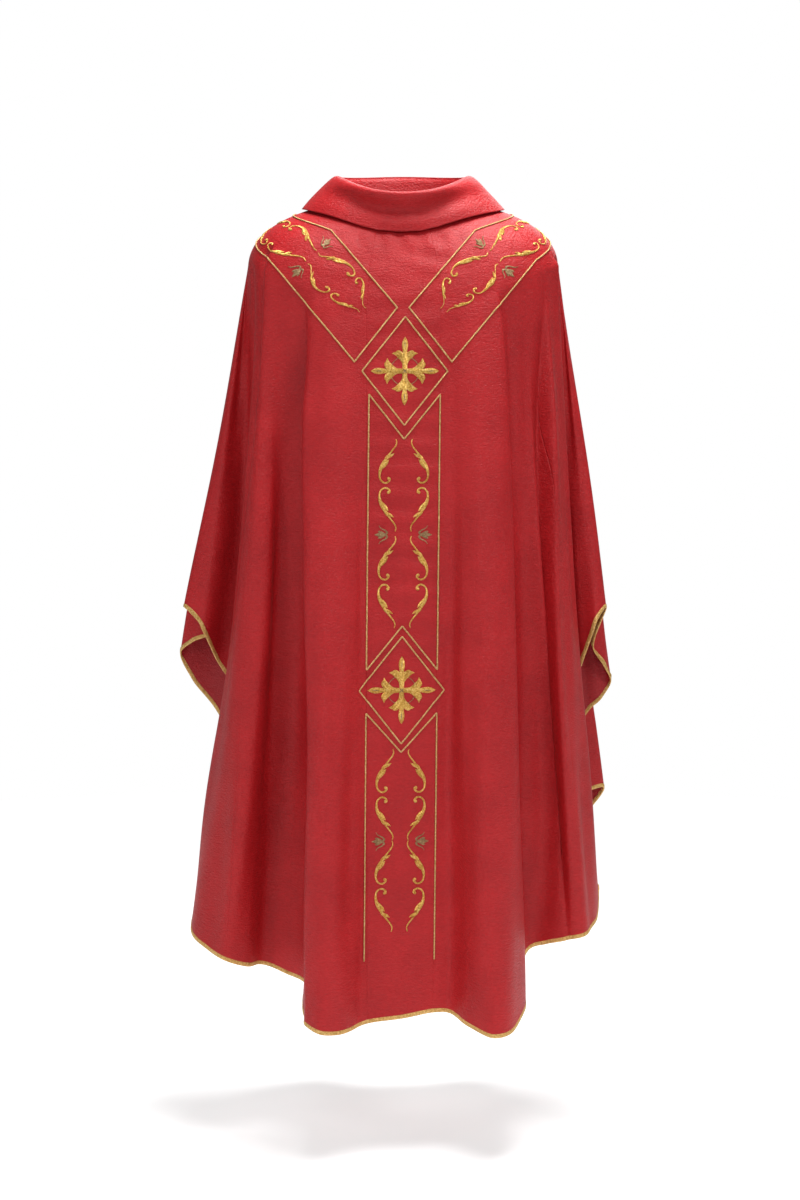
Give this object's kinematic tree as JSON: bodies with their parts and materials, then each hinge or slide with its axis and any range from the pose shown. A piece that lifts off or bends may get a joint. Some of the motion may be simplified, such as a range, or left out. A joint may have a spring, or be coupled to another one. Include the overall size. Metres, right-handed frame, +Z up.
{
  "type": "chasuble",
  "caption": "Red gothic chasuble with a rolled collar, gold-embroidered centre column and shoulder bands, and a gold hem braid, hanging as worn.",
  "frame": {"origin": "on the garment's centre line, level with the base of the neck, where it rests on the shoulders", "axes": "+Z up, front facing -Y, the wearer's left along +X"},
  "size_m": [0.699, 0.458, 1.3511],
  "materials": {
    "red_cloth": "fine woven wool blend with a faint sheen",
    "gold_thread": "metallic gold satin-stitch thread",
    "bronze_thread": "dull bronze-gold thread",
    "gold_cord": "twisted gold cord, couched down",
    "gold_braid": "narrow woven gold braid"
  },
  "bodies": {
    "root": {"back_centre_panel": "red_cloth", "back_left_panel": "red_cloth", "back_lower_column_cord": "gold_cord", "back_lower_cross": "gold_thread", "back_lower_cross_ring": "bronze_thread", "back_lower_diamond_cord": "gold_cord", "back_right_panel": "red_cloth", "back_upper_column_cord": "gold_cord", "back_upper_cross": "gold_thread", "back_upper_cross_ring": "bronze_thread", "back_upper_diamond_cord": "gold_cord", "collar_fall": "red_cloth", "collar_stand": "red_cloth", "front_centre_panel": "red_cloth", "front_left_panel": "red_cloth", "front_lower_column_cord": "gold_cord", "front_lower_cross": "gold_thread", "front_lower_cross_ring": "bronze_thread", "front_lower_diamond_cord": "gold_cord", "front_right_panel": "red_cloth", "front_upper_column_cord": "gold_cord", "front_upper_cross": "gold_thread", "front_upper_cross_ring": "bronze_thread", "front_upper_diamond_cord": "gold_cord", "hem_braid": "gold_braid", "left_band_inner_scrolls_1": "gold_thread", "left_band_inner_scrolls_2": "gold_thread", "left_band_inner_tulip": "bronze_thread", "left_band_outer_scrolls_1": "gold_thread", "left_band_outer_scrolls_2": "gold_thread", "left_band_outer_tulip": "bronze_thread", "left_shoulder_band_cord": "gold_cord", "left_side_panel": "red_cloth", "lower_column_left_scrolls_1": "gold_thread", "lower_column_left_scrolls_2": "gold_thread", "lower_column_left_tulip": "bronze_thread", "lower_column_right_scrolls_1": "gold_thread", "lower_column_right_scrolls_2": "gold_thread", "lower_column_right_tulip": "bronze_thread", "right_band_inner_scrolls_1": "gold_thread", "right_band_inner_scrolls_2": "gold_thread", "right_band_inner_tulip": "bronze_thread", "right_band_outer_scrolls_1": "gold_thread", "right_band_outer_scrolls_2": "gold_thread", "right_band_outer_tulip": "bronze_thread", "right_shoulder_band_cord": "gold_cord", "right_side_panel": "red_cloth", "upper_column_left_scrolls_1": "gold_thread", "upper_column_left_scrolls_2": "gold_thread", "upper_column_left_tulip": "bronze_thread", "upper_column_right_scrolls_1": "gold_thread", "upper_column_right_scrolls_2": "gold_thread", "upper_column_right_tulip": "bronze_thread"}
  },
  "joints": []
}
